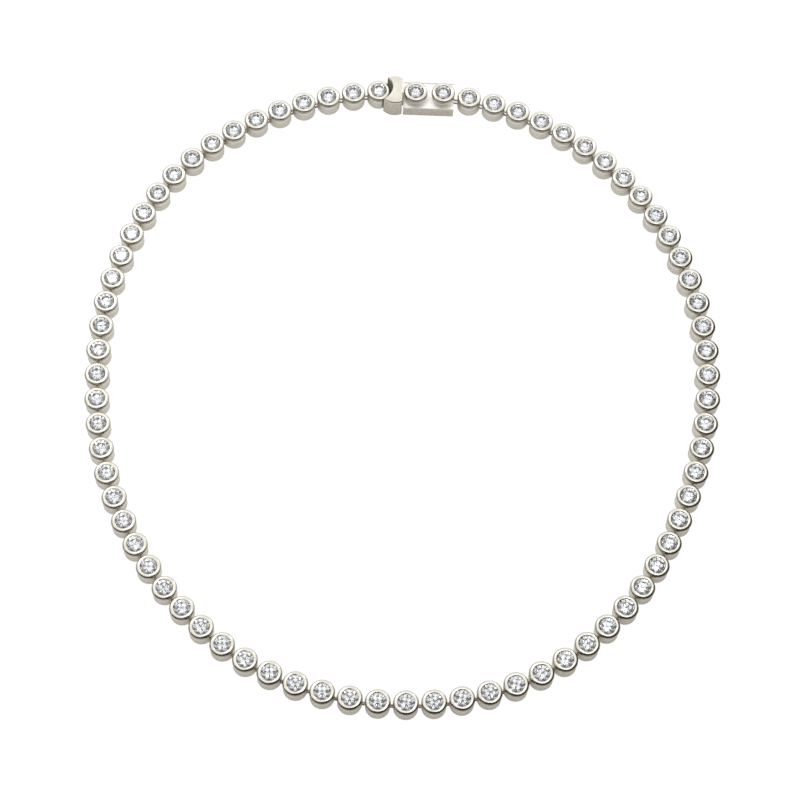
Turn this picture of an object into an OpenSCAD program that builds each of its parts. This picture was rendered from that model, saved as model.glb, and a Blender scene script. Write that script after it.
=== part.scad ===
// Riviere necklace of loose round stone cups, laid flat as a closed loop with its clasp fastened.
// Millimetres, +Z up. The loop lies on Z = 0 and the origin is the middle of its footprint.

/* [Loop] */
// Number of loose stone cups in the chain
cup_count = 73; // [60:1:90]
// Gap between the collars of neighbouring cups
collar_gap = 0.4; // [0.3:0.05:0.7]
// Distance along the loop from its top to the middle of the clasp
clasp_side = 2.8; // [-10:0.1:10]

/* [Stones] */
// Diameter of a stone at its girdle
stone_d = 3.7; // [3.4:0.05:4]
// Height of the crown above the girdle, as a share of the diameter
crown_share = 0.15; // [0.12:0.01:0.17]
// Depth of the pavilion below the girdle, as a share of the diameter
pavilion_share = 0.43; // [0.38:0.01:0.44]
// Width of the table, as a share of the diameter
table_share = 0.56; // [0.5:0.01:0.64]
// Thickness of the girdle
girdle_t = 0.11; // [0.08:0.01:0.15]

/* [Cups] */
// Height of a cup from its foot to the top of its collar
cup_h = 3.9; // [3.8:0.05:4.6]
// Thickness of the wall around the bore
cup_wall = 0.45; // [0.4:0.05:0.7]
// Play between a stone and the metal that holds it
seat_play = 0.1; // [0.1:0.01:0.15]
// How far the lip of the collar reaches over the edge of a stone
lip_cover = 0.15; // [0.05:0.01:0.2]
// Depth of a stone's table below the top of its collar
table_drop = 0; // [0:0.05:0.2]
// How far the collar stands out from the body
collar_out = 0.1; // [0.05:0.01:0.2]
// Width of the ledge under a stone's girdle
ledge_w = 0.35; // [0.3:0.05:0.5]
// Radius of the collar's round edge
collar_round = 0.55; // [0.45:0.01:0.6]
// Height of the groove under the collar
groove_h = 0.18; // [0.1:0.01:0.3]
// Depth of the groove into the body
groove_depth = 0.1; // [0.05:0.01:0.15]
// Size of the chamfer around the foot
foot_chamfer = 0.12; // [0.05:0.01:0.15]

/* [Links] */
// Diameter of a link's wire
wire_d = 0.45; // [0.35:0.01:0.5]
// Distance between the two straight wires of a link, middle to middle
link_rise = 1.2; // [1.15:0.05:1.3]
// Height of the middle of a link above the surface
link_z = 1.12; // [1.1:0.01:1.2]
// Play around a wire in its hole
hole_play = 0.12; // [0.1:0.01:0.15]
// Radius of the hidden bores in the clasp that take the ends of its links
eye_r = 0.6; // [0.55:0.01:0.7]

/* [Clasp] */
// Length of the clasp box along the chain
box_l = 10.6; // [10.2:0.1:13]
// Width of the clasp box across the chain
box_w = 6.2; // [5.4:0.1:7]
// Height of the clasp box
box_h = 3.05; // [3:0.05:3.6]
// Height of the bezels above the box
bezel_h = 1.75; // [1.7:0.05:2.2]
// Distance between the two bezels, middle to middle
bezel_pitch = 5.8; // [5.2:0.1:6.2]
// Shift of the two bezels from the middle of the box towards the first cup
bezel_shift = 0.15; // [0:0.05:0.3]
// Gap between the clasp box and the end block
clasp_gap = 0.3; // [0.15:0.05:0.6]
// Gap between the clasp box and the body of the first cup
tail_gap = 0.95; // [0.6:0.05:1.4]
// Diameter of the end block
block_d = 6.6; // [6:0.1:7.4]
// Height of the middle of the end block's domed top
block_h = 5.7; // [4.4:0.1:6.5]
// Radius of the dome over the end block
dome_r = 9; // [7:0.5:20]
// Radius of the round edge of the end block
block_round = 0.4; // [0.2:0.05:0.6]
// Distance from the middle of the end block to its flat face
block_flat = 1.55; // [1.3:0.05:2]
// Thickness of the end block where the last cup nests in it
block_waist = 2; // [1.8:0.05:2.4]
// Length of the tongue inside the clasp box
tongue_l = 4.6; // [3:0.1:6]
// Width of the tongue
tongue_w = 2.8; // [2:0.1:3.6]
// Thickness of the tongue
tongue_t = 0.6; // [0.4:0.05:0.7]
// Height of the underside of the tongue above the surface
tongue_z = 0.95; // [0.9:0.05:1]
// Play around the tongue in its slot
slot_play = 0.15; // [0.1:0.01:0.2]

/* [Hidden] */
$fn = 48;
// Small overlap that joins or cuts cleanly
eps = 0.01;
// Depth that a bezel is sunk into the box where it is soldered
weld = 0.05;
// Room below the point of a stone in the clasp box
pavilion_play = 0.12;
// Angle from one stone's facets to the next stone's, so that no two neighbours match
facet_turn = 23;
// Route of the loop: its radius at even bearings, clockwise from the top, as shares of the mean radius
route = [1.04, 1.035, 1.015, 0.98, 0.95, 0.95, 0.99, 1.03,
    1.035, 1.025, 0.99, 0.96, 0.95, 0.985, 1.03, 1.04];
// Straight pieces between two bearings of the route when its length is measured
route_steps = 24;

// Sizes that follow from the stones
stone_r = stone_d / 2;
bore_r = stone_r + seat_play;
body_r = bore_r + cup_wall;
collar_r = body_r + collar_out;
lip_r = stone_r - lip_cover;
crown_h = stone_d * crown_share;
pavilion_h = stone_d * pavilion_share;
cup_pitch = 2 * collar_r + collar_gap;

// Depths below the top of a collar
table_r = stone_r * table_share;
crown_slope = crown_h / (stone_r - table_r);
pavilion_slope = pavilion_h / stone_r;
girdle_top = table_drop + crown_h;
girdle_foot = girdle_top + girdle_t;
culet = girdle_foot + pavilion_h;
lip_foot = girdle_top - seat_play;
lip_inner = lip_foot - (bore_r - lip_r) * crown_slope;
ledge_r = bore_r - ledge_w;
ledge_top = girdle_foot + seat_play;
ledge_foot = ledge_top + ledge_w * pavilion_slope;
ledge_end = ledge_foot + ledge_w;
groove_top = 1.25 * collar_round;

// Links
wire_r = wire_d / 2;
hole_r = wire_r + hole_play;
// Distance of a link's end arc from the inner face of the wall that it passes through
link_bite = 0.1;
eye_top = link_z + link_rise / 2 + wire_r + hole_play;

// Places along the clasp, measured from the axis of the last cup
nest_r = cup_pitch - body_r;
block_face = nest_r + block_waist;
block_mid = block_face - block_flat;
box_start = block_face + clasp_gap;
box_end = box_start + box_l;
bezel_left = box_start + box_l / 2 + bezel_shift - bezel_pitch / 2;
bezel_right = bezel_left + bezel_pitch;
clasp_span = box_end + tail_gap + body_r;
block_eye = nest_r + cup_wall;
box_eye = box_end - cup_wall;
bezel_top = box_h + bezel_h;

// Loop: a smooth closed curve through the route, with the cups spaced evenly along it
function blend(a, b, c, d, t) =
    ((2 * b) + (c - a) * t + (2 * a - 5 * b + 4 * c - d) * t * t
    + (3 * b - a - 3 * c + d) * t * t * t) / 2;
bearings = len(route);
function share(i, t) = blend(route[(i + bearings - 1) % bearings], route[i % bearings],
    route[(i + 1) % bearings], route[(i + 2) % bearings], t);
function on_route(k) = let (
        i = floor(k / route_steps),
        t = k / route_steps - i,
        bearing = 360 * k / (bearings * route_steps)
    ) share(i, t) * [sin(bearing), cos(bearing)];
route_points = [for (k = [0:bearings * route_steps]) on_route(k)];
route_run = [for (k = 0, s = 0; k <= bearings * route_steps;
    s = s + norm(on_route(k + 1) - on_route(k)), k = k + 1) s];
loop_length = (cup_count - 1) * cup_pitch + clasp_span;
mean_r = loop_length / route_run[bearings * route_steps];
along_x = [for (k = [0:bearings * route_steps]) [route_run[k], route_points[k][0]]];
along_y = [for (k = [0:bearings * route_steps]) [route_run[k], route_points[k][1]]];
function at(s) = let (q = ((s + loop_length) % loop_length) / mean_r)
    mean_r * [lookup(q, along_x), lookup(q, along_y)];
cups_on_loop = [for (i = [0:cup_count - 1]) at(clasp_side + clasp_span / 2 + i * cup_pitch)];

// Middle of the footprint, which becomes the origin
first_on_loop = cups_on_loop[0];
last_on_loop = cups_on_loop[cup_count - 1];
clasp_on_loop = [(first_on_loop[0] + last_on_loop[0] - clasp_span) / 2,
    (first_on_loop[1] + last_on_loop[1]) / 2];
cup_xs = [for (p = cups_on_loop) p[0]];
cup_ys = [for (p = cups_on_loop) p[1]];
clasp_half_w = max(block_d, box_w) / 2;
middle = [(min(cup_xs) + max(cup_xs)) / 2,
    (min(cup_ys) - collar_r + max(max(cup_ys) + collar_r, clasp_on_loop[1] + clasp_half_w)) / 2];
cups = [for (p = cups_on_loop) p - middle];
clasp = clasp_on_loop - middle;
first_cup = cups[0];
last_cup = cups[cup_count - 1];

// Points that the clasp's two links reach for inside the end block and inside the box
block_anchor = clasp + [block_eye - link_bite, 0];
box_anchor = clasp + [box_eye + link_bite, 0];
function angle_to(a, b) = atan2(b[1] - a[1], b[0] - a[0]);
function towards(a, b, reach) = a + reach * (b - a) / norm(b - a);
cup_reach = bore_r + link_bite;

module setting_section(top, foot) {
    // Half section of a setting between the heights foot and top, with its round collar and groove
    difference() {
        union() {
            translate([0, foot])
                square([body_r, top - collar_round - foot]);
            translate([collar_r - collar_round, top - collar_round])
                circle(r = collar_round);
        }
        stone_room(top, foot);
        translate([body_r - groove_depth, top - groove_top - groove_h])
            square([groove_depth + 2 * collar_out, groove_h]);
    }
}

module stone_room(top, foot) {
    // Half section of the space inside a setting: opening, seat for the girdle, ledge and bore
    polygon([
        [-eps, top + eps],
        [lip_r, top + eps],
        [lip_r, top - lip_inner],
        [bore_r, top - lip_foot],
        [bore_r, top - ledge_top],
        [ledge_r, top - ledge_foot],
        [bore_r, top - ledge_end],
        [bore_r, foot - eps],
        [-eps, foot - eps]
    ]);
}

module wire_holes(reach) {
    // Two stacked holes through a wall, drilled along +X from the Z axis
    for (side = [-1, 1])
        translate([0, 0, link_z + side * link_rise / 2])
            rotate([0, 90, 0])
                cylinder(r = hole_r, h = reach);
}

module link_entry() {
    // Two stacked holes through the wall of an eye in the clasp, along +X from inside the eye
    translate([-eye_r, 0, 0])
        wire_holes(eye_r + block_d / 2);
}

module cup(before, after) {
    // One loose cup with holes towards the links on both sides
    difference() {
        rotate_extrude()
            difference() {
                setting_section(cup_h, 0);
                foot_cut();
            }
        rotate([0, 0, before])
            wire_holes(body_r + 1);
        rotate([0, 0, after])
            wire_holes(body_r + 1);
    }
}

module foot_cut() {
    // Half section of the chamfer around the outside of a cup's foot
    polygon([
        [body_r - foot_chamfer, -eps],
        [body_r + foot_chamfer, -eps],
        [body_r + foot_chamfer, 2 * foot_chamfer]
    ]);
}

module bezel_cups() {
    color("Silver")
        for (i = [0:cup_count - 1])
            translate(cups[i])
                cup(angle_to(cups[i], i == 0 ? box_anchor : cups[i - 1]),
                    angle_to(cups[i], i == cup_count - 1 ? block_anchor : cups[i + 1]));
}

module brilliant(top, turn) {
    // Round brilliant with its table at height top: octagonal table, sixteen-sided girdle, point below
    table = [for (k = [0:7]) [table_r * cos(45 * k), table_r * sin(45 * k), top]];
    upper = [for (k = [0:15]) [stone_r * cos(22.5 * k), stone_r * sin(22.5 * k), top - crown_h]];
    lower = [for (p = upper) [p[0], p[1], top - crown_h - girdle_t]];
    point = [[0, 0, top - crown_h - girdle_t - pavilion_h]];
    rotate([0, 0, turn])
        polyhedron(
            points = concat(table, upper, lower, point),
            faces = concat(
                [[for (k = [7:-1:0]) k]],
                [for (k = [0:7]) [k, (k + 1) % 8, 8 + 2 * k + 1]],
                [for (k = [0:7]) [k, 8 + 2 * k + 1, 8 + 2 * k]],
                [for (k = [0:7]) [(k + 1) % 8, 8 + (2 * k + 2) % 16, 8 + 2 * k + 1]],
                [for (k = [0:15]) [8 + k, 8 + (k + 1) % 16, 24 + (k + 1) % 16, 24 + k]],
                [for (k = [0:15]) [24 + k, 24 + (k + 1) % 16, 40]]
            )
        );
}

module chain_stones() {
    color("WhiteSmoke")
        for (i = [0:cup_count - 1])
            translate(cups[i])
                brilliant(cup_h - table_drop, facet_turn * i);
}

module link(a, b) {
    // Oval wire loop standing on edge, its end arcs centred above a and b
    run = norm(b - a);
    translate([a[0], a[1], link_z])
        rotate([90, 0, angle_to(a, b)]) {
            for (side = [-1, 1])
                translate([0, side * link_rise / 2, 0])
                    rotate([0, 90, 0])
                        cylinder(r = wire_r, h = run);
            rotate([0, 0, 90])
                link_end();
            translate([run, 0, 0])
                rotate([0, 0, -90])
                    link_end();
        }
}

module link_end() {
    rotate_extrude(angle = 180)
        translate([link_rise / 2, 0])
            circle(r = wire_r, $fn = 24);
}

module chain_links() {
    color("Gray") {
        for (i = [0:cup_count - 2])
            link(towards(cups[i], cups[i + 1], cup_reach), towards(cups[i + 1], cups[i], cup_reach));
        link(box_anchor, towards(first_cup, box_anchor, cup_reach));
        link(towards(last_cup, block_anchor, cup_reach), block_anchor);
    }
}

module clasp_box() {
    color("Silver")
        translate(clasp)
            difference() {
                union() {
                    translate([box_start, -box_w / 2, 0])
                        cube([box_l, box_w, box_h]);
                    for (x = [bezel_left, bezel_right])
                        translate([x, 0, 0])
                            rotate_extrude()
                                setting_section(bezel_top, box_h - weld);
                }
                for (x = [bezel_left, bezel_right])
                    translate([x, 0, bezel_top - culet - pavilion_play])
                        cylinder(r = ledge_r, h = box_h);
                translate([box_start - eps, -tongue_w / 2 - slot_play, tongue_z - slot_play])
                    cube([tongue_l + slot_play + eps, tongue_w + 2 * slot_play, tongue_t + 2 * slot_play]);
                translate([box_eye - eye_r, 0, -eps])
                    cylinder(r = eye_r, h = eye_top + eps);
                translate(box_anchor - clasp)
                    rotate([0, 0, angle_to(box_anchor, first_cup)])
                        link_entry();
            }
}

module clasp_end_block() {
    color("Silver")
        difference() {
            translate(clasp)
                union() {
                    difference() {
                        translate([block_mid, 0, 0])
                            domed_block();
                        translate([block_face, -block_d, -eps])
                            cube([block_d, 2 * block_d, block_h + 1]);
                    }
                    translate([block_face - cup_wall, -tongue_w / 2, tongue_z])
                        cube([cup_wall + clasp_gap + tongue_l, tongue_w, tongue_t]);
                }
            translate([last_cup[0], last_cup[1], -eps])
                cylinder(r = nest_r, h = block_h + 1);
            translate([clasp[0] + block_eye + eye_r, clasp[1], -eps])
                cylinder(r = eye_r, h = eye_top + eps);
            translate(block_anchor)
                rotate([0, 0, angle_to(block_anchor, last_cup)])
                    link_entry();
        }
}

module domed_block() {
    // Upright round block: the dome and the side meet in an edge round that touches both
    side_r = block_d / 2;
    dome_z = block_h - dome_r;
    round_x = side_r - block_round;
    round_z = dome_z + sqrt(pow(dome_r - block_round, 2) - pow(round_x, 2));
    touch_x = round_x * dome_r / (dome_r - block_round);
    rotate_extrude()
        union() {
            square([side_r, round_z]);
            translate([round_x, round_z])
                circle(r = block_round);
            intersection() {
                translate([0, dome_z])
                    circle(r = dome_r, $fn = 240);
                square([touch_x, block_h]);
            }
        }
}

module clasp_stone(x) {
    color("WhiteSmoke")
        translate([clasp[0] + x, clasp[1], 0])
            brilliant(bezel_top - table_drop, facet_turn);
}

module clasp_stone_left() {
    clasp_stone(bezel_left);
}

module clasp_stone_right() {
    clasp_stone(bezel_right);
}

bezel_cups();
chain_stones();
chain_links();
clasp_box();
clasp_end_block();
clasp_stone_left();
clasp_stone_right();
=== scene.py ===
"""Looks of the riviere necklace: satin and brushed white gold, cut stones, pale floor, soft light. Metres."""

import logging
from dataclasses import dataclass, replace
from enum import Enum
from math import cos, pi, radians, sin

import bpy
import numpy as np
from mathutils import Matrix, Vector

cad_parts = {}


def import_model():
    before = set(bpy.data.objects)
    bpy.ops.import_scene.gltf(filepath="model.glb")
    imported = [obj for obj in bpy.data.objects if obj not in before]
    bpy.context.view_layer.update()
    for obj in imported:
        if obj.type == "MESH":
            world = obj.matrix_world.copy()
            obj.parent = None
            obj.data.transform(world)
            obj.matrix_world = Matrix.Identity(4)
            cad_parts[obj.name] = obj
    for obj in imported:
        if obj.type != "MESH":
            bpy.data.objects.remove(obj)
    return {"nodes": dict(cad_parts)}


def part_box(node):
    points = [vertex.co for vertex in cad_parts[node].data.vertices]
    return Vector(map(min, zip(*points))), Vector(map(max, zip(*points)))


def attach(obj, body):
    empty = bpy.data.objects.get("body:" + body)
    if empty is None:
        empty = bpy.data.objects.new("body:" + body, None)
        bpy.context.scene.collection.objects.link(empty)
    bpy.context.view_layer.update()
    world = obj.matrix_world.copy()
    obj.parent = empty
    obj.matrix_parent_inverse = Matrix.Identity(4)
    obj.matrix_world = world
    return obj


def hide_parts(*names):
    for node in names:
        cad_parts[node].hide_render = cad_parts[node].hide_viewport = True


LOG = logging.getLogger("necklace")
MM = 0.001
ROOT = "root"

Colour = tuple[float, float, float]
Place = tuple[float, float, float]
Pair = tuple[float, float]

WHITE: Colour = (1.0, 1.0, 1.0)
MIX_FIRST, MIX_SECOND, MIX_RESULT = 6, 7, 2


class Link:
    """One output socket of a shader tree. Arithmetic on it adds Math nodes."""

    def __init__(self, shader: "Shader", socket: bpy.types.NodeSocket) -> None:
        """Keeps the tree and the socket."""
        self.shader = shader
        self.socket = socket

    def _maths(self, operation: str, first: "Link | float", second: "Link | float") -> "Link":
        """Adds one Math node on two values."""
        return self.shader.node("ShaderNodeMath", {"operation": operation}, {0: first, 1: second})

    def __add__(self, other: "Link | float") -> "Link":
        """Sum of two values."""
        return self._maths("ADD", self, other)

    def __sub__(self, other: "Link | float") -> "Link":
        """This value less the other."""
        return self._maths("SUBTRACT", self, other)

    def __rsub__(self, other: float) -> "Link":
        """The other value less this one."""
        return self._maths("SUBTRACT", other, self)

    def __mul__(self, other: "Link | float") -> "Link":
        """Product of two values."""
        return self._maths("MULTIPLY", self, other)

    __radd__ = __add__
    __rmul__ = __mul__


@dataclass(frozen=True)
class Noise:
    """Cloudy noise: its lumps to the metre, its layers of finer lumps, and how strong those layers are."""

    scale: float
    detail: float = 2.0
    roughness: float = 0.5


class Shader:
    """A node tree that is built up by one method for nodes and a few short ones for common patterns."""

    def __init__(self, tree: bpy.types.NodeTree) -> None:
        """Empties the tree."""
        self.tree = tree
        tree.nodes.clear()

    def node(
        self,
        kind: str,
        settings: dict[str, object],
        sockets: dict[str | int, object],
        output: str | int = 0,
    ) -> Link | None:
        """Adds one node.

        Args:
            kind: the node's type.
            settings: what is set on the node first, such as its operation.
            sockets: a value or a Link for each input, by name or number.
            output: which output is returned.

        Returns:
            The chosen output, or None where the node has none.
        """
        made = self.tree.nodes.new(kind)
        for name, value in settings.items():
            setattr(made, name, value)
        for name, value in sockets.items():
            if isinstance(value, Link):
                self.tree.links.new(value.socket, made.inputs[name])
            else:
                made.inputs[name].default_value = value
        return Link(self, made.outputs[output]) if made.outputs else None

    def place(self) -> Link:
        """Object coordinates, in metres."""
        return self.node("ShaderNodeTexCoord", {}, {}, "Object")

    def part(self, place: Link, axis: str) -> Link:
        """The value of a place along one axis."""
        return self.node("ShaderNodeSeparateXYZ", {}, {0: place}, axis)

    def step(self, value: Link, low: float, high: float, start: float = 0.0, end: float = 1.0) -> Link:
        """Rises smoothly from start to end while a value goes from low to high.

        With t = (value - low) / (high - low), held from 0 to 1, it is start + (end - start) t t (3 - 2 t).

        Args:
            value: what is followed.
            low: where the rise begins.
            high: where it ends.
            start: the result at low and before it.
            end: the result at high and after it.

        Returns:
            The result.
        """
        sockets = {"Value": value, "From Min": low, "From Max": high, "To Min": start, "To Max": end}
        return self.node("ShaderNodeMapRange", {"interpolation_type": "SMOOTHSTEP"}, sockets)

    def stretched(self, place: Link, scale: Place) -> Link:
        """The place times a factor for each axis."""
        return self.node("ShaderNodeMapping", {"vector_type": "POINT"}, {"Vector": place, "Scale": scale})

    def noise(self, place: Link, look: Noise) -> Link:
        """Cloudy noise from 0 to 1."""
        sockets = {"Vector": place, "Scale": look.scale, "Detail": look.detail, "Roughness": look.roughness}
        return self.node("ShaderNodeTexNoise", {}, sockets)

    def attribute(self, name: str) -> Link:
        """A number kept on the mesh."""
        return self.node("ShaderNodeAttribute", {"attribute_name": name}, {}, "Fac")

    def mixed(self, share: Link | float, first: "Colour | Link", second: "Colour | Link") -> Link:
        """Blend of two colours.

        Args:
            share: how much of the second colour shows.
            first: colour at share 0.
            second: colour at share 1.

        Returns:
            The blended colour.
        """
        low, high = (c if isinstance(c, Link) else (*c, 1.0) for c in (first, second))
        sockets = {0: share, MIX_FIRST: low, MIX_SECOND: high}
        return self.node("ShaderNodeMix", {"data_type": "RGBA"}, sockets, MIX_RESULT)

    def bump(self, height: Link, distance: float, strength: float) -> Link:
        """Normal of a surface raised by height times distance, in metres."""
        sockets = {"Height": height, "Distance": distance, "Strength": strength}
        return self.node("ShaderNodeBump", {}, sockets, "Normal")

    def surface(self, sockets: dict[str, object]) -> None:
        """Ends a material in one Principled surface."""
        skin = self.node("ShaderNodeBsdfPrincipled", {}, sockets)
        self.node("ShaderNodeOutputMaterial", {}, {"Surface": skin})


def new_material(name: str) -> tuple[bpy.types.Material, Shader]:
    """Makes a material.

    Args:
        name: the material's name.

    Returns:
        The material and the shader that builds its tree.
    """
    made = bpy.data.materials.new(name)
    made.use_nodes = True
    return made, Shader(made.node_tree)


def shaded(colour: Colour, factor: float) -> Colour:
    """A colour times a factor."""
    return tuple(factor * part for part in colour)


class Grain(Enum):
    """Which way the fine brush lines run, as stretch factors of the noise on each axis."""

    AROUND = (1.0, 1.0, 8.0)
    UPRIGHT = (6.0, 1.0, 1.0)


@dataclass(frozen=True)
class Zone:
    """A band across one axis in which the metal has another colour, fading out below and above."""

    low: float
    high: float
    fade_below: float
    fade_above: float
    colour: Colour
    share: float
    axis: str = "Z"

    def mask(self, shader: Shader, place: Link) -> Link:
        """Where the zone shows.

        Args:
            shader: the tree that it is added to.
            place: Object coordinates.

        Returns:
            The zone's share between its ends, 0 outside its fades.
        """
        value = shader.part(place, self.axis)
        rise = shader.step(value, self.low - self.fade_below, self.low, 0.0, self.share)
        return rise * shader.step(value, self.high, self.high + self.fade_above, 1.0, 0.0)

    def raised(self, rise: float) -> "Zone":
        """The same band, moved up its axis."""
        return replace(self, low=self.low + rise, high=self.high + rise)


@dataclass(frozen=True)
class EdgeShade:
    """A painted line of shade along one edge of a flat top, where the edge would turn from the light, which
    ends just short of the wall under the edge.
    """

    axis: str
    width: float
    fade: float
    share: float
    gap: float = 0.02 * MM
    fade_out: float = 0.01 * MM
    colour: Colour = (0.50, 0.47, 0.41)

    def zone(self, edge: float) -> Zone:
        """The line as a zone, for an edge at that place on the axis."""
        ends = (edge - self.width, edge - self.gap)
        return Zone(*ends, self.fade, self.fade_out, self.colour, self.share, self.axis)


@dataclass(frozen=True)
class Hollow:
    """The shaded wall of a round upright hollow, darker towards its floor."""

    middle: Pair
    radius: float
    colour: Colour = (0.10, 0.085, 0.06)
    share: float = 0.92
    top_share: float = 0.276
    dark_at: float = 3.6 * MM
    light_at: float = 5.6 * MM
    edge: float = 0.05 * MM

    def mask(self, shader: Shader, place: Link) -> Link:
        """Where the hollow shows.

        The distance from the middle is taken with the height times 0, so it is the same all the way up.

        Args:
            shader: the tree that it is added to.
            place: Object coordinates.

        Returns:
            The hollow's share within its radius, falling from the floor to the top, and 0 outside.
        """
        ends = {0: shader.stretched(place, (1.0, 1.0, 0.0)), 1: (*self.middle, 0.0)}
        away = shader.node("ShaderNodeVectorMath", {"operation": "DISTANCE"}, ends, "Value")
        inside = shader.step(away, self.radius, self.radius + self.edge, 1.0, 0.0)
        height = shader.part(place, "Z")
        return inside * shader.step(height, self.dark_at, self.light_at, self.share, self.top_share)


@dataclass(frozen=True)
class GoldFinish:
    """White gold: brushed below a height, even satin above, and zones mostly of painted shade and highlights.
    """

    name: str
    grain: Grain
    satin_from: float
    zones: tuple[Zone | Hollow, ...] = ()
    wall_colour: Colour = (0.78, 0.742, 0.66)
    satin_colour: Colour = (0.80, 0.762, 0.676)
    wall_rough: float = 0.44
    satin_rough: float = 0.19
    line_depth: float = 0.14
    edge: float = 0.06 * MM
    line_noise: Noise = Noise(900.0, 4.0, 0.68)
    cloud_noise: Noise = Noise(420.0, 3.0)
    speck_noise: Noise = Noise(4200.0)
    streaked: Pair = (0.36, 0.64)
    worn: Pair = (0.35, 0.7)
    fresh_tone: float = 0.95
    wall_uneven: Pair = (0.16, 0.08)
    satin_uneven: Pair = (0.10, 0.05)
    wall_relief: tuple[float, ...] = (1.0, 0.3, 0.25)
    satin_loss: tuple[float, ...] = (0.93, 0.28, 0.17)
    relief: float = 0.006 * MM
    relief_strength: float = 0.6

    def material(self) -> bpy.types.Material:
        """Brush lines, cloudy polish and small dents.

        Returns:
            The finish as a material.
        """
        made, shader = new_material(self.name)
        place = shader.place()
        satin = shader.step(shader.part(place, "Z"), self.satin_from - self.edge, self.satin_from + self.edge)
        lines = shader.noise(shader.stretched(place, self.grain.value), self.line_noise)
        clouds = shader.noise(place, self.cloud_noise)
        specks = shader.noise(place, self.speck_noise)
        worn = shader.step(clouds, *self.worn)
        colour = self._colour(shader, lines, worn, satin)
        # Each zone lays its colour over the metal; most are painted shade or painted highlights.
        for zone in self.zones:
            colour = shader.mixed(zone.mask(shader, place), colour, zone.colour)
        shader.surface({
            "Base Color": colour,
            "Metallic": 1.0,
            "Roughness": self._roughness(lines, specks, worn, satin),
            "Normal": shader.bump(
                self._relief(lines, specks, clouds, satin),
                self.relief,
                self.relief_strength,
            ),
        })
        return made

    def _colour(self, shader: Shader, lines: Link, worn: Link, satin: Link) -> Link:
        """Streaked wall and even satin in one colour.

        Args:
            shader: the tree that it is added to.
            lines: brush lines, 0 to 1.
            worn: where the polish is worn, 0 to 1.
            satin: 0 on the wall and 1 on the satin.

        Returns:
            The colour.
        """
        streaks = shader.step(lines, *self.streaked)
        wall = shader.mixed(
            streaks,
            shaded(self.wall_colour, 1.0 - self.line_depth),
            shaded(self.wall_colour, 1.0 + self.line_depth),
        )
        even = shader.mixed(worn, shaded(self.satin_colour, self.fresh_tone), self.satin_colour)
        return shader.mixed(satin, wall, even)

    def _roughness(self, lines: Link, specks: Link, worn: Link, satin: Link) -> Link:
        """Rougher on the brushed wall, smoother on the satin, and uneven on both.

        Each mark less its middle, 0.5, times its weight is added to the wall's or the satin's own roughness.

        Args:
            lines: brush lines, 0 to 1.
            specks: small dents, 0 to 1.
            worn: where the polish is worn, 0 to 1.
            satin: 0 on the wall and 1 on the satin.

        Returns:
            The roughness.
        """
        by_line, by_speck = self.wall_uneven
        wall = self.wall_rough + by_line * (lines - 0.5) + by_speck * (specks - 0.5)
        by_wear, by_speck = self.satin_uneven
        even = self.satin_rough + by_wear * (worn - 0.5) + by_speck * (specks - 0.5)
        return wall * (1 - satin) + even * satin

    def _relief(self, lines: Link, specks: Link, clouds: Link, satin: Link) -> Link:
        """Deep brush lines on the wall, faint ones on the satin, and small dents everywhere.

        The sum of each mark times (its weight on the wall - what it loses on the satin * satin).

        Args:
            lines: brush lines, 0 to 1.
            specks: small dents, 0 to 1.
            clouds: broad waves, 0 to 1.
            satin: 0 on the wall and 1 on the satin.

        Returns:
            The height, in parts of the relief.
        """
        deep, small, broad = (
            mark * (on_wall - lost * satin)
            for mark, on_wall, lost in zip((lines, specks, clouds), self.wall_relief, self.satin_loss)
        )
        return deep + small + broad


@dataclass(frozen=True)
class WireFinish:
    """White gold wire of the links, darkened in cloudy patches."""

    name: str = "wire_white_gold"
    bright: Colour = (0.66, 0.632, 0.565)
    dark: Colour = (0.32, 0.30, 0.255)
    patch_noise: Noise = Noise(900.0, 3.0)
    line_noise: Noise = Noise(1800.0)
    tarnished: Pair = (0.38, 0.7)
    drawn_rough: float = 0.28
    tarnish_rough: float = 0.18
    line_rough: float = 0.08
    relief: float = 0.004 * MM
    relief_strength: float = 0.5

    def material(self) -> bpy.types.Material:
        """Drawn wire with cloudy tarnish.

        Returns:
            The finish as a material.
        """
        made, shader = new_material(self.name)
        place = shader.place()
        tarnish = shader.step(shader.noise(place, self.patch_noise), *self.tarnished)
        lines = shader.noise(shader.stretched(place, Grain.AROUND.value), self.line_noise)
        shader.surface({
            "Base Color": shader.mixed(tarnish, self.bright, self.dark),
            "Metallic": 1.0,
            "Roughness": self.drawn_rough + self.tarnish_rough * tarnish + self.line_rough * (lines - 0.5),
            "Normal": shader.bump(lines, self.relief, self.relief_strength),
        })
        return made


@dataclass(frozen=True)
class StoneFinish:
    """Clear colourless stone with a faint veil that differs from facet to facet."""

    name: str
    clear: Colour = (0.985, 0.993, 1.0)
    veiled: Colour = (0.90, 0.93, 0.97)
    index: float = 2.42
    gloss: Colour = (0.8, 0.8, 0.8)
    dust_noise: Noise = Noise(2600.0, 3.0)
    dusty: Pair = (0.66, 0.8)
    polish: float = 0.004
    facet_rough: float = 0.015
    dust_rough: float = 0.04

    def material(self) -> bpy.types.Material:
        """Refracting, with each facet's polish its own and a little dust.

        Returns:
            The finish as a material.
        """
        made, shader = new_material(self.name)
        facet = shader.attribute("facet")
        dust = shader.step(shader.noise(shader.place(), self.dust_noise), *self.dusty)
        shader.surface({
            "Base Color": shader.mixed(facet, self.clear, self.veiled),
            "Roughness": self.polish + self.facet_rough * facet + self.dust_rough * dust,
            "IOR": self.index,
            "Specular Tint": (*self.gloss, 1.0),
            "Transmission Weight": 1.0,
        })
        return made


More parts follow.
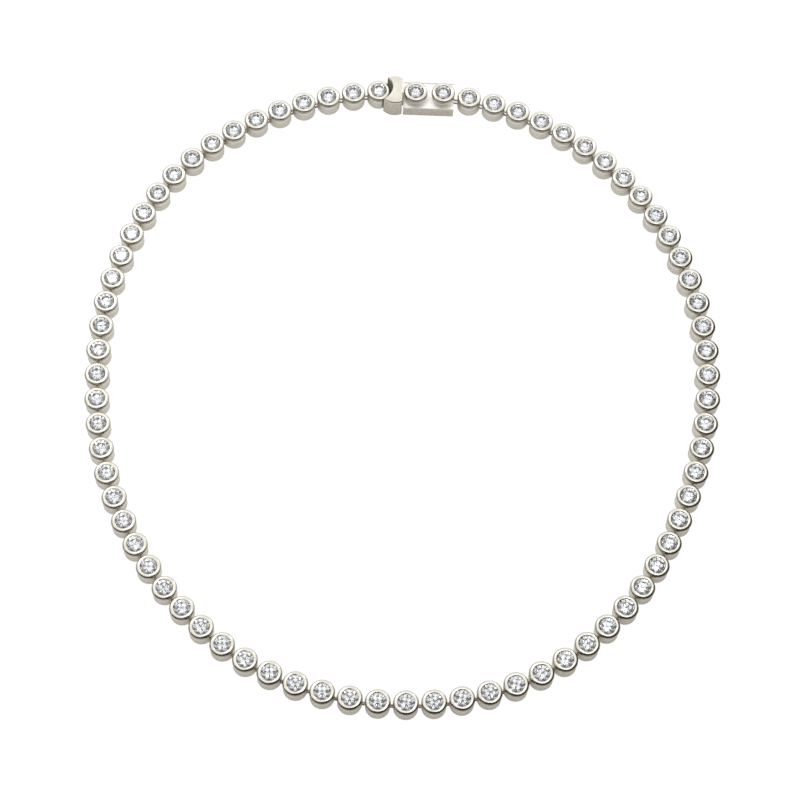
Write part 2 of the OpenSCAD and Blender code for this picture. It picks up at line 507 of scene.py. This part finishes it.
@dataclass(frozen=True)
class FeltFinish:
    """Dark felt of the studio's shades."""

    name: str
    dark: Colour = (0.035, 0.028, 0.018)
    light: Colour = (0.075, 0.062, 0.042)
    nap_noise: Noise = Noise(900.0)
    rough: float = 0.9
    shine: float = 0.1

    def material(self) -> bpy.types.Material:
        """Dull, with an uneven nap.

        Returns:
            The finish as a material.
        """
        made, shader = new_material(self.name)
        felt = shader.mixed(shader.noise(shader.place(), self.nap_noise), self.dark, self.light)
        shader.surface({"Base Color": felt, "Roughness": self.rough, "Specular IOR Level": self.shine})
        return made


@dataclass(frozen=True)
class PaperFinish:
    """White paper of the floor. Its glow makes it plain to the camera and softer to the gold."""

    name: str = "floor_paper"
    colour: Colour = (0.78, 0.78, 0.775)
    fibre_noise: Noise = Noise(300.0)
    fibre_tone: float = 0.98
    glow: float = 1.06
    glow_seen: float = 0.95
    glow_lit: float = 0.392

    def material(self) -> bpy.types.Material:
        """Paper mixed with its own glow, more of it where the camera looks.

        Returns:
            The finish as a material.
        """
        made, shader = new_material(self.name)
        fibres = shader.noise(shader.place(), self.fibre_noise)
        shade = shader.mixed(fibres, self.colour, shaded(self.colour, self.fibre_tone))
        paper = shader.node("ShaderNodeBsdfDiffuse", {}, {"Color": shade})
        glow = shader.node("ShaderNodeEmission", {}, {"Strength": self.glow})
        seen = shader.node("ShaderNodeLightPath", {}, {}, "Is Camera Ray")
        share = self.glow_lit + seen * (self.glow_seen - self.glow_lit)
        both = shader.node("ShaderNodeMixShader", {}, {0: share, 1: paper, 2: glow})
        shader.node("ShaderNodeOutputMaterial", {}, {"Surface": both})
        return made


def ring(radius: float, height: float | np.ndarray, turns: np.ndarray) -> np.ndarray:
    """Points at the given turns on a circle.

    Args:
        radius: the circle's radius.
        height: its height, one for all or one for each point.
        turns: angles in radians.

    Returns:
        Rows of x = radius cos(turn), y = radius sin(turn), z = height.
    """
    heights = np.broadcast_to(height, turns.shape)
    return np.stack([radius * np.cos(turns), radius * np.sin(turns), heights], axis=1)


def even_turns(sides: int) -> np.ndarray:
    """Angles of the corners of a ring with that many sides, from 0 in even steps of a full turn / sides."""
    return np.arange(sides) * 2 * pi / sides


def plane_height(first: np.ndarray, second: np.ndarray, third: np.ndarray, x: float, y: float) -> float:
    """Height at x, y of the plane through three points.

    The plane's normal is the cross product of two of its sides, and the height follows from the normal's dot
    product with the way from the first point being zero.

    Args:
        first: a point of the plane.
        second: another.
        third: another, not in line with the two.
        x: where the height is wanted.
        y: where the height is wanted.

    Returns:
        The height z.
    """
    normal = np.cross(second - first, third - first)
    return first[2] - (normal[0] * (x - first[0]) + normal[1] * (y - first[1])) / normal[2]


@dataclass
class BrilliantStones:
    """Round brilliants: table, stars, kites and halves above the girdle, halves and mains below it."""

    name: str
    nodes: tuple[str, ...]
    slot: str
    finish: StoneFinish
    girdle_r: float = 1.85 * MM
    girdle_t: float = 0.08 * MM
    table_share: float = 0.60
    star_share: float = 0.52
    crown_share: float = 0.137
    pavilion_share: float = 0.455
    lower_share: float = 0.78
    fold: int = 8
    facet_turn: float = radians(23.0)
    seed: int = 73

    def _corners(self) -> np.ndarray:
        """Corners of one stone with its point at the origin, as rows.

        The crown's kites lie on planes through the table's corners and the girdle, so a star's tip at radius
        r and half a step round has height crown (R - r cos(half)) / (R - table radius). The pavilion's mains
        lie on planes through the point, so a tip at radius r there has height pavilion r cos(half) / R. The
        girdle's corners between two facets' ends lie on the halves' planes, which makes its edge wavy.

        Returns:
            Rows for the table (n), the stars' tips (n), the girdle's upper and lower edge (4 n each), the
            lower halves' tips (n) and the point, where n is the fold.
        """
        n, girdle = self.fold, self.girdle_r
        step = 2 * pi / n
        half = step / 2
        crown, depth = 2 * girdle * self.crown_share, 2 * girdle * self.pavilion_share
        table_r, lower_r = girdle * self.table_share, girdle * (1 - self.lower_share)
        edge_r = table_r * cos(half)
        star_r = edge_r + self.star_share * (girdle - edge_r)
        top = depth + self.girdle_t
        mains, halves, sides = np.arange(n) * step, np.arange(n) * step + half, np.arange(4 * n) * step / 4
        stars = ring(star_r, top + crown * (girdle - star_r * cos(half)) / (girdle - table_r), halves)
        lowers = ring(lower_r, depth * lower_r * cos(half) / girdle, halves)
        upper_rim, under_rim = ring(girdle, top, sides), ring(girdle, depth, sides)
        for rim, tips in ((upper_rim, stars), (under_rim, lowers)):
            rim[1::2, 2] = plane_height(tips[0], rim[0], rim[2], rim[1, 0], rim[1, 1])
        table = ring(table_r, top + crown, mains)
        return np.vstack([table, stars, upper_rim, under_rim, lowers, np.zeros((1, 3))])

    def _facets(self) -> list[np.ndarray]:
        """Facets of one stone, anticlockwise seen from outside, as numbers of the rows of corners.

        Returns:
            A table of corner numbers for each number of corners: the stone's table, the threes and the fours.
        """
        n = self.fold
        k, side = np.arange(n), np.arange(4 * n)
        onward = (side + 1) % (4 * n)
        table, star, upper, under, lower, point = 0, n, 2 * n, 6 * n, 10 * n, 11 * n
        on, last = (k + 1) % n, (k - 1) % n
        rim = [(4 * k + j) % (4 * n) for j in range(5)]
        threes = np.stack([table + k, star + k, table + on], axis=1)
        fours = np.concatenate([
            np.stack([table + k, star + last, upper + rim[0], star + k], axis=1),
            np.stack([star + k, upper + rim[0], upper + rim[1], upper + rim[2]], axis=1),
            np.stack([star + k, upper + rim[2], upper + rim[3], upper + rim[4]], axis=1),
            np.stack([under + side, under + onward, upper + onward, upper + side], axis=1),
            np.stack([lower + k, under + rim[2], under + rim[1], under + rim[0]], axis=1),
            np.stack([lower + k, under + rim[4], under + rim[3], under + rim[2]], axis=1),
            np.stack([np.full(n, point), lower + k, under + rim[0], lower + last], axis=1),
        ])
        return [(table + k)[None], threes, fours]

    def build(self, points: np.ndarray) -> bpy.types.Object:
        """Sets a stone over each point and dresses them.

        Each stone is turned by its number times the facet turn: x' = x cos - y sin, y' = x sin + y cos.

        Args:
            points: the place of each stone's lowest tip.

        Returns:
            The new piece.
        """
        corners = self._corners()
        turns = self.facet_turn * np.arange(len(points))[:, None]
        x, y, z = corners.T
        turned = np.stack([
            np.cos(turns) * x - np.sin(turns) * y,
            np.sin(turns) * x + np.cos(turns) * y,
            np.broadcast_to(z, (len(points), len(z))),
        ], axis=2) + points[:, None, :]
        shift = len(corners) * np.arange(len(points))[:, None, None]
        every: list[list[int]] = []
        for facets in self._facets():
            every.extend((facets[None] + shift).reshape(-1, facets.shape[1]).tolist())
        mesh = bpy.data.meshes.new(self.name)
        mesh.from_pydata(turned.reshape(-1, 3), [], every)
        tone = mesh.attributes.new("facet", "FLOAT", "FACE")
        tone.data.foreach_set("value", np.random.default_rng(self.seed).random(len(every)))
        mesh.materials.append(self.finish.material())
        piece = bpy.data.objects.new(self.name, mesh)
        bpy.context.scene.collection.objects.link(piece)
        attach(piece, ROOT)
        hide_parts(*self.nodes)
        LOG.info("%s: %d stones, %d facets", self.name, len(points), len(every))
        return piece


def lowest_tips(node: bpy.types.Object, band: float = 0.02 * MM, digits: int = 6) -> np.ndarray:
    """Finds the tips on which a node's stones stand.

    Args:
        node: the solids of the stones.
        band: how far above the lowest corner a tip may be.
        digits: decimals of a metre to which the places are rounded, so that each tip is found once.

    Returns:
        A row for the lowest tip of each stone, in order of bearing.
    """
    places = np.empty(3 * len(node.data.vertices))
    node.data.vertices.foreach_get("co", places)
    places = places.reshape(-1, 3)
    low = places[places[:, 2] < places[:, 2].min() + band]
    tips = np.unique(np.round(low, digits), axis=0)
    return tips[np.argsort(np.arctan2(tips[:, 0], tips[:, 1]))]


@dataclass
class DressedNode:
    """A solid of the frame whose shape is right, given a finish."""

    node: str
    finish: GoldFinish | WireFinish

    def dress(self, nodes: dict[str, bpy.types.Object]) -> None:
        """Puts the finish in the solid's material slots.

        Args:
            nodes: the frame's solids by name.
        """
        made = self.finish.material()
        for place in nodes[self.node].material_slots:
            place.material = made
        LOG.info("%s: %s", self.node, self.finish.name)


@dataclass(frozen=True)
class SoftBox:
    """A square soft light that faces the necklace."""

    name: str
    place: Place
    width: float
    watts: float

    def build(self) -> None:
        """Makes the lamp."""
        data = bpy.data.lights.new(self.name, "AREA")
        data.shape, data.size, data.energy = "SQUARE", self.width, self.watts
        lamp = bpy.data.objects.new(self.name, data)
        lamp.location = self.place
        lamp.rotation_euler = (-Vector(self.place)).to_track_quat("-Z", "Y").to_euler()
        bpy.context.scene.collection.objects.link(lamp)


@dataclass(frozen=True)
class Glow:
    """The part of the surround around one direction, towards which its light rises."""

    towards: Place
    low: float
    high: float

    def share(self, shader: Shader, way: Link) -> Link:
        """How much of the glow shows in a direction.

        Args:
            shader: the tree that it is added to.
            way: the direction.

        Returns:
            A rise from 0 to 1 as the cosine between the direction and this one goes from low to high.
        """
        aim = Vector(self.towards).normalized()
        match = shader.node("ShaderNodeVectorMath", {"operation": "DOT_PRODUCT"}, {0: way, 1: aim}, "Value")
        return shader.step(match, self.low, self.high)


def unseen_felt(mesh: bpy.types.Mesh, through_stones: bool, on_metal: bool) -> None:
    """Makes a mesh a stage piece of dark felt that the camera doesn't see.

    Args:
        mesh: the felt's mesh.
        through_stones: whether it shows in light that has passed through a stone.
        on_metal: whether it is mirrored in metal and keeps light off.
    """
    mesh.materials.append(FeltFinish(f"{mesh.name}_felt").material())
    card = bpy.data.objects.new(mesh.name, mesh)
    card.visible_camera = False
    card.visible_transmission = through_stones
    card.visible_glossy = card.visible_diffuse = card.visible_shadow = on_metal
    bpy.context.scene.collection.objects.link(card)


@dataclass(frozen=True)
class ShadeCard:
    """A dark curved card around the right and the front, whose reflection edges the collars."""

    reach: float = 9 * MM
    lift: float = 0.3 * MM
    turns: tuple[float, ...] = (-160.0, -125.0, -100.0, -70.0, -50.0, -30.0, -12.0, 14.0, 30.0, 42.0)
    nears: tuple[float, ...] = (98.0, 98.0, 96.0, 93.0, 86.0, 78.0, 75.0, 74.0, 75.0, 76.0)
    heights: tuple[float, ...] = (0.0, 50.0, 100.0, 120.0, 112.0, 76.0, 44.0, 36.0, 22.0, 0.0)
    columns_round: int = 64
    rows_up: int = 9

    def build(self) -> None:
        """Makes the card and hides it from the camera.

        On a grid of bearing and bend: radius = near + reach sin(bend), z = lift + height (1 - cos(bend)),
        where near and height in mm follow the bearing in degrees along the given points.
        """
        bearing, bend = np.meshgrid(
            np.linspace(self.turns[0], self.turns[-1], self.columns_round),
            np.linspace(0, pi / 2, self.rows_up),
        )
        height = np.interp(bearing, self.turns, self.heights) * MM
        radius = np.interp(bearing, self.turns, self.nears) * MM + self.reach * np.sin(bend)
        turn = np.radians(bearing)
        rows, columns = bearing.shape
        places = np.stack([
            radius * np.cos(turn),
            radius * np.sin(turn),
            self.lift + height * (1 - np.cos(bend)),
        ], axis=2).reshape(-1, 3)
        start = (np.arange(rows - 1)[:, None] * columns + np.arange(columns - 1)).reshape(-1)
        faces = np.stack([start, start + columns, start + columns + 1, start + 1], axis=1)
        mesh = bpy.data.meshes.new("shade_card")
        mesh.from_pydata(places, [], faces.tolist())
        unseen_felt(mesh, through_stones=False, on_metal=True)


@dataclass(frozen=True)
class LensShade:
    """A dark disc near the lens or overhead that faces the necklace."""

    middle: Place = (15 * MM, -125 * MM, 215 * MM)
    radius: float = 55 * MM
    on_metal: bool = True
    sides: int = 48

    def build(self) -> None:
        """Makes the disc and hides it from the camera: a ring of points turned to face the origin."""
        facing = np.array((-Vector(self.middle)).to_track_quat("Z", "Y").to_matrix())
        places = ring(self.radius, 0.0, even_turns(self.sides)) @ facing.T + np.array(self.middle)
        mesh = bpy.data.meshes.new("lens_shade")
        mesh.from_pydata(places, [], [list(range(self.sides))])
        unseen_felt(mesh, through_stones=True, on_metal=self.on_metal)


@dataclass
class Studio:
    """Pale floor, soft light from above and behind, and a camera at the photograph's angle."""

    target: Place = (-0.483 * MM, -2.771 * MM, 0.0)
    azimuth: float = radians(2.214)
    elevation: float = radians(66.5)
    roll: float = radians(4.0)
    distance: float = 512.05 * MM
    lens: float = 114.04
    clip: Pair = (0.01, 20.0)
    floor_r: float = 3.0
    floor_sides: int = 96
    floor_finish: PaperFinish = PaperFinish()
    dome: Glow = Glow((0.12, 0.55, 0.83), 0.2, 0.72)
    dome_level: float = 0.9
    side_level: float = 0.19
    stone_level: float = 0.06
    boxes: tuple[SoftBox, ...] = (
        SoftBox("key", (-0.28, 0.45, 0.75), 0.25, 0.6),
        SoftBox("top", (0.12, 0.10, 1.0), 0.16, 0.25),
        SoftBox("side", (-0.75, -0.15, 0.55), 0.2, 0.18),
        SoftBox("back", (0.45, 0.65, 0.6), 0.16, 0.25),
    )
    shades: tuple[ShadeCard | LensShade, ...] = (
        ShadeCard(),
        LensShade(),
        LensShade((0.0, -20 * MM, 250 * MM), 45 * MM, False),
    )

    def _camera(self) -> None:
        """Looks from the front and above, level apart from a small roll.

        With azimuth a and elevation e the view goes along (sin a cos e, cos a cos e, -sin e).
        """
        flat, rise = cos(self.elevation), sin(self.elevation)
        ahead = Vector((sin(self.azimuth) * flat, cos(self.azimuth) * flat, -rise))
        level = Vector((cos(self.azimuth), -sin(self.azimuth), 0.0))
        upward = level.cross(ahead)
        right = level * cos(self.roll) + upward * sin(self.roll)
        up = upward * cos(self.roll) - level * sin(self.roll)
        data = bpy.data.cameras.new("camera")
        data.lens = self.lens
        data.clip_start, data.clip_end = self.clip
        camera = bpy.data.objects.new("camera", data)
        turn = Matrix((right, up, -ahead)).transposed()
        camera.matrix_world = Matrix.Translation(Vector(self.target) - self.distance * ahead) @ turn.to_4x4()
        bpy.context.scene.collection.objects.link(camera)
        bpy.context.scene.camera = camera

    def _floor(self) -> None:
        """A wide disc of glowing paper under the necklace."""
        mesh = bpy.data.meshes.new("floor")
        corners = ring(self.floor_r, 0.0, even_turns(self.floor_sides))
        mesh.from_pydata(corners, [], [list(range(self.floor_sides))])
        mesh.materials.append(self.floor_finish.material())
        piece = bpy.data.objects.new("floor", mesh)
        bpy.context.scene.collection.objects.link(piece)

    def _surround(self) -> None:
        """A dome of light from the back, a little lighter through stones and plain white to the camera.

        The level is side + dome * share of the dome + stone where the light has passed a stone, and 1 to the
        camera.
        """
        world = bpy.data.worlds.new("surround")
        world.use_nodes = True
        bpy.context.scene.world = world
        shader = Shader(world.node_tree)
        way = shader.node("ShaderNodeTexCoord", {}, {}, "Generated")
        through = shader.node("ShaderNodeLightPath", {}, {}, "Is Transmission Ray")
        level = self.side_level + self.dome_level * self.dome.share(shader, way) + self.stone_level * through
        seen = shader.node("ShaderNodeLightPath", {}, {}, "Is Camera Ray")
        sockets = {"Color": (*WHITE, 1.0), "Strength": level * (1 - seen) + seen}
        light = shader.node("ShaderNodeBackground", {}, sockets)
        shader.node("ShaderNodeOutputWorld", {}, {"Surface": light})

    def build(self) -> None:
        """Makes the camera, the floor and the lights."""
        self._camera()
        self._floor()
        self._surround()
        for box in self.boxes:
            box.build()
        for shade in self.shades:
            shade.build()
        bpy.context.scene.view_settings.view_transform = "Standard"
        LOG.info("studio ready")


@dataclass(frozen=True)
class Collar:
    """A collar's satin height, painted shade in its groove and on its outer edge on a loose cup, and its rise
    above that.
    """

    rise: float = 0.0
    satin_from: float = 3.21 * MM
    # Painted shade: the groove under the bead is darkened where shade falls.
    groove: Zone = Zone(3.03 * MM, 3.2 * MM, 0.04 * MM, 0.06 * MM, (0.19, 0.17, 0.135), 0.85)
    # Painted shade: the bead's lower outer side is darkened in place of the dark it would mirror.
    outer_edge_shade: Zone = Zone(3.24 * MM, 3.5 * MM, 0.03 * MM, 0.3 * MM, (0.34, 0.316, 0.262), 0.75)

    def satin_height(self) -> float:
        """The height above which the metal is satin."""
        return self.satin_from + self.rise

    def painted_shades(self) -> tuple[Zone, Zone]:
        """The painted shade in the groove and on the outer edge, at their heights."""
        return self.groove.raised(self.rise), self.outer_edge_shade.raised(self.rise)


@dataclass
class Chain:
    """The loose cups with their stones, and the wire links that join them."""

    collar: Collar = Collar()
    # Painted highlight: a light band on the cup's wall under the groove, in place of the floor's reflection.
    shoulder_highlight: Zone = Zone(2.5 * MM, 2.92 * MM, 0.3 * MM, 0.04 * MM, (0.98, 0.95, 0.88), 0.6)
    # Painted contact shadow: a dark band at the bottom of the cup's wall.
    foot_shadow: Zone = Zone(-0.1 * MM, 0.06 * MM, 0.05 * MM, 0.16 * MM, (0.42, 0.39, 0.33), 0.7)

    def _cup_finish(self) -> GoldFinish:
        """Satin collars on brushed bodies, with painted shade in the groove and on the bead's outer edge, a
        painted highlight just under the groove and a painted contact shadow at the bottom.
        """
        zones = (*self.collar.painted_shades(), self.shoulder_highlight, self.foot_shadow)
        return GoldFinish("cup_white_gold", Grain.AROUND, self.collar.satin_height(), zones)

    def build(self, nodes: dict[str, bpy.types.Object]) -> None:
        """Sets the stones and dresses the cups and the links.

        Args:
            nodes: the frame's solids by name.
        """
        stones = StoneFinish("chain_diamond_clear")
        tips = lowest_tips(nodes["chain_stones"])
        BrilliantStones("chain_brilliants", ("chain_stones",), "chain_diamond", stones).build(tips)
        DressedNode("bezel_cups", self._cup_finish()).dress(nodes)
        DressedNode("chain_links", WireFinish()).dress(nodes)


@dataclass
class Clasp:
    """The clasp box with its two bezels and stones, and the end block in which the last cup nests."""

    collar: Collar = Collar(0.9 * MM)
    brushed: Colour = (0.65, 0.607, 0.525)
    line_depth: float = 0.2
    # Painted highlight: the bezels' walls lightened as if they caught the light.
    bezel_wall_highlight: Zone = Zone(3.22 * MM, 3.84 * MM, 0.06 * MM, 0.05 * MM, (0.94, 0.905, 0.83), 0.8)
    # Painted highlight: a light line along the top of the box's wall, just under the plate.
    lip_highlight: Zone = Zone(2.84 * MM, 2.98 * MM, 0.06 * MM, 0.02 * MM, (0.98, 0.95, 0.88), 0.8)
    # Painted sheen: the top plate lightened nearly to white, as it looks where it catches the light.
    plate: Zone = Zone(3.0 * MM, 3.12 * MM, 0.04 * MM, 0.04 * MM, (0.93, 0.915, 0.87), 1.0)
    # Painted shade along the top plate's back and right edges.
    back_edge: EdgeShade = EdgeShade("Y", 0.3 * MM, 0.08 * MM, 0.9)
    end_edge: EdgeShade = EdgeShade("X", 0.22 * MM, 0.06 * MM, 0.6)
    block_satin_from: float = 8.0 * MM
    dome: Zone = Zone(5.0 * MM, 6.0 * MM, 0.25 * MM, 0.1 * MM, (0.80, 0.765, 0.68), 0.6)
    # Painted highlight: a light line along the block's rim.
    rim: Zone = Zone(4.68 * MM, 4.86 * MM, 0.06 * MM, 0.1 * MM, (0.92, 0.885, 0.80), 0.6)
    nest_r: float = 3.02 * MM

    def _edge_shades(self) -> tuple[Zone, Zone]:
        """Painted shade along the plate's back and right edges."""
        end, back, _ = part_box("clasp_box")[1]
        return self.back_edge.zone(back), self.end_edge.zone(end)

    def _box_finish(self) -> GoldFinish:
        """Brushed walls, a plate lightened as a painted sheen with painted shade along its edges, painted
        highlights on the bezel walls and just under the plate, and bezels finished as the cups are.

        Returns:
            The finish of the box.
        """
        return GoldFinish(
            "box_white_gold",
            Grain.UPRIGHT,
            self.collar.satin_height(),
            (*self.collar.painted_shades(), self.bezel_wall_highlight, self.lip_highlight, self.plate, *self._edge_shades()),
            self.brushed,
            line_depth=self.line_depth,
        )

    def _nest(self, tips: np.ndarray) -> Hollow:
        """The hollow around the last cup, which is the one nearest to the middle of the end block.

        Args:
            tips: the lowest tip of each of the chain's stones.

        Returns:
            The shaded hollow.
        """
        low, high = (np.array(corner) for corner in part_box("clasp_end_block"))
        x, y, _ = tips[np.argmin(np.linalg.norm(tips - (low + high) / 2, axis=1))]
        return Hollow((float(x), float(y)), self.nest_r)

    def _block_finish(self, tips: np.ndarray) -> GoldFinish:
        """Brushed all over, lighter on the dome, with a painted highlight on its rim and painted shade in the
        nest of the last cup.

        Args:
            tips: the lowest tip of each of the chain's stones.

        Returns:
            The finish of the end block.
        """
        return GoldFinish(
            "block_white_gold",
            Grain.UPRIGHT,
            self.block_satin_from,
            (self.dome, self.rim, self._nest(tips)),
            self.brushed,
            line_depth=self.line_depth,
        )

    def build(self, nodes: dict[str, bpy.types.Object]) -> None:
        """Sets the two stones and dresses the box and the end block.

        Args:
            nodes: the frame's solids by name.
        """
        for side in ("left", "right"):
            node, slot = f"clasp_stone_{side}", f"clasp_diamond_{side}"
            stone = BrilliantStones(f"clasp_brilliant_{side}", (node,), slot, StoneFinish(f"{slot}_clear"))
            stone.build(lowest_tips(nodes[node]))
        DressedNode("clasp_box", self._box_finish()).dress(nodes)
        DressedNode("clasp_end_block", self._block_finish(lowest_tips(nodes["chain_stones"]))).dress(nodes)


def main() -> None:
    """Sets up the studio and builds the chain and the clasp."""
    logging.basicConfig(level=logging.INFO, format="%(name)s: %(message)s")
    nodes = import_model()["nodes"]
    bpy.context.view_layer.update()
    Studio().build()
    Chain().build(nodes)
    Clasp().build(nodes)
    LOG.info("sizes noted")


if __name__ == "__main__":
    main()
